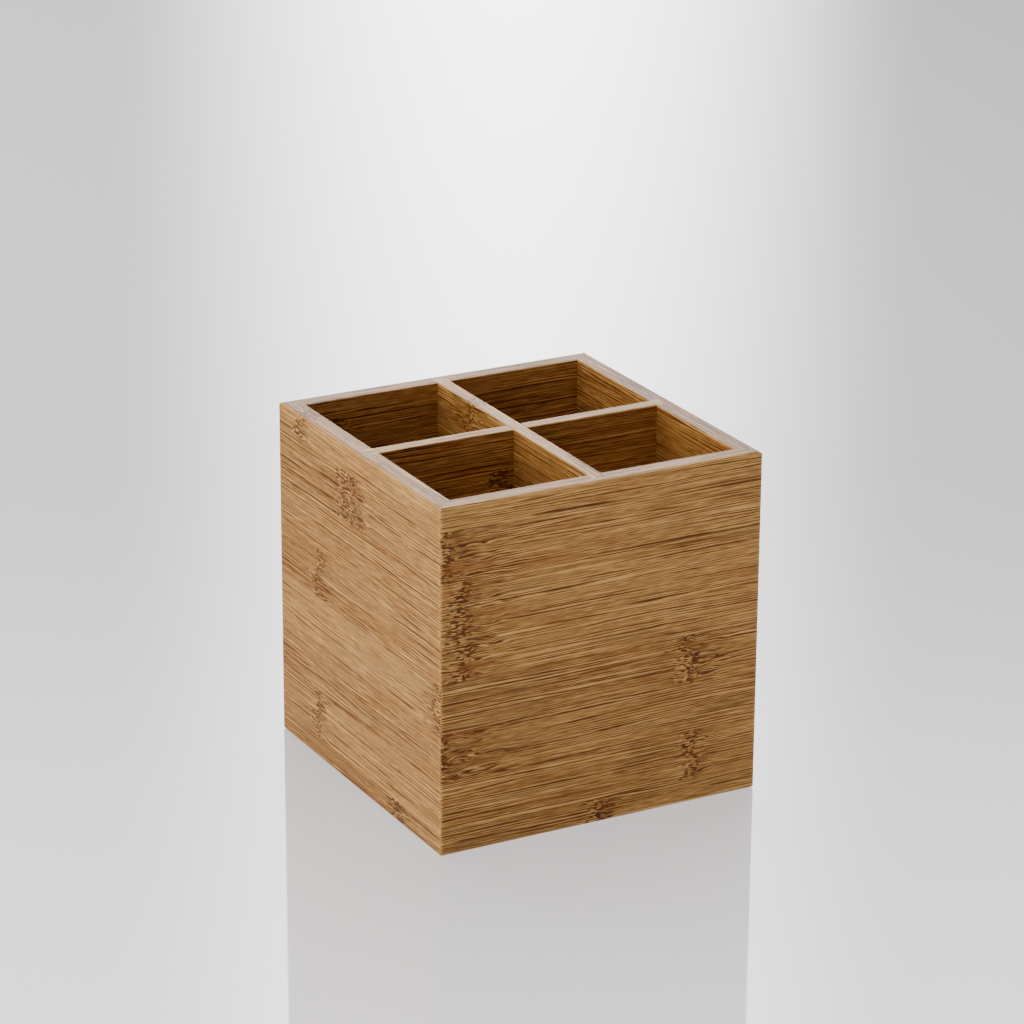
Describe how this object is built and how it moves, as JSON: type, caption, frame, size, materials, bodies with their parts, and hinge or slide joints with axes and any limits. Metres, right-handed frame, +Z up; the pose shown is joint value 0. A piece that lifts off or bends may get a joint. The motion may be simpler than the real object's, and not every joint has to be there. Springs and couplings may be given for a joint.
{
  "type": "cutlery caddy",
  "caption": "Square bamboo caddy with mitred walls and crossed dividers that part it into open-topped compartments for cutlery.",
  "frame": {"origin": "middle of the footprint, on the surface that the caddy stands on", "axes": "+Z up; +X to the right along the front wall; the front wall faces -Y"},
  "size_m": [0.152, 0.152, 0.1535],
  "materials": {
    "bamboo_wall": "satin lacquer",
    "bamboo_divider": "satin lacquer",
    "bamboo_floor": "satin lacquer"
  },
  "bodies": {
    "root": {"back_wall_strip_1": "bamboo_wall", "back_wall_strip_2": "bamboo_wall", "back_wall_strip_3": "bamboo_wall", "back_wall_strip_4": "bamboo_wall", "back_wall_strip_5": "bamboo_wall", "back_wall_strip_6": "bamboo_wall", "back_wall_strip_7": "bamboo_wall", "back_wall_strip_8": "bamboo_wall", "floor_strip_1": "bamboo_floor", "floor_strip_2": "bamboo_floor", "floor_strip_3": "bamboo_floor", "floor_strip_4": "bamboo_floor", "floor_strip_5": "bamboo_floor", "floor_strip_6": "bamboo_floor", "floor_strip_7": "bamboo_floor", "front_back_divider_strip_1": "bamboo_divider", "front_back_divider_strip_2": "bamboo_divider", "front_back_divider_strip_3": "bamboo_divider", "front_back_divider_strip_4": "bamboo_divider", "front_back_divider_strip_5_back": "bamboo_divider", "front_back_divider_strip_5_front": "bamboo_divider", "front_back_divider_strip_6_back": "bamboo_divider", "front_back_divider_strip_6_front": "bamboo_divider", "front_back_divider_strip_7_back": "bamboo_divider", "front_back_divider_strip_7_front": "bamboo_divider", "front_wall_strip_1": "bamboo_wall", "front_wall_strip_2": "bamboo_wall", "front_wall_strip_3": "bamboo_wall", "front_wall_strip_4": "bamboo_wall", "front_wall_strip_5": "bamboo_wall", "front_wall_strip_6": "bamboo_wall", "front_wall_strip_7": "bamboo_wall", "front_wall_strip_8": "bamboo_wall", "left_right_divider_strip_1_left": "bamboo_divider", "left_right_divider_strip_1_right": "bamboo_divider", "left_right_divider_strip_2_left": "bamboo_divider", "left_right_divider_strip_2_right": "bamboo_divider", "left_right_divider_strip_3_left": "bamboo_divider", "left_right_divider_strip_3_right": "bamboo_divider", "left_right_divider_strip_4": "bamboo_divider", "left_right_divider_strip_5": "bamboo_divider", "left_right_divider_strip_6": "bamboo_divider", "left_right_divider_strip_7": "bamboo_divider", "left_wall_strip_1": "bamboo_wall", "left_wall_strip_2": "bamboo_wall", "left_wall_strip_3": "bamboo_wall", "left_wall_strip_4": "bamboo_wall", "left_wall_strip_5": "bamboo_wall", "left_wall_strip_6": "bamboo_wall", "left_wall_strip_7": "bamboo_wall", "left_wall_strip_8": "bamboo_wall", "right_wall_strip_1": "bamboo_wall", "right_wall_strip_2": "bamboo_wall", "right_wall_strip_3": "bamboo_wall", "right_wall_strip_4": "bamboo_wall", "right_wall_strip_5": "bamboo_wall", "right_wall_strip_6": "bamboo_wall", "right_wall_strip_7": "bamboo_wall", "right_wall_strip_8": "bamboo_wall"}
  },
  "joints": []
}
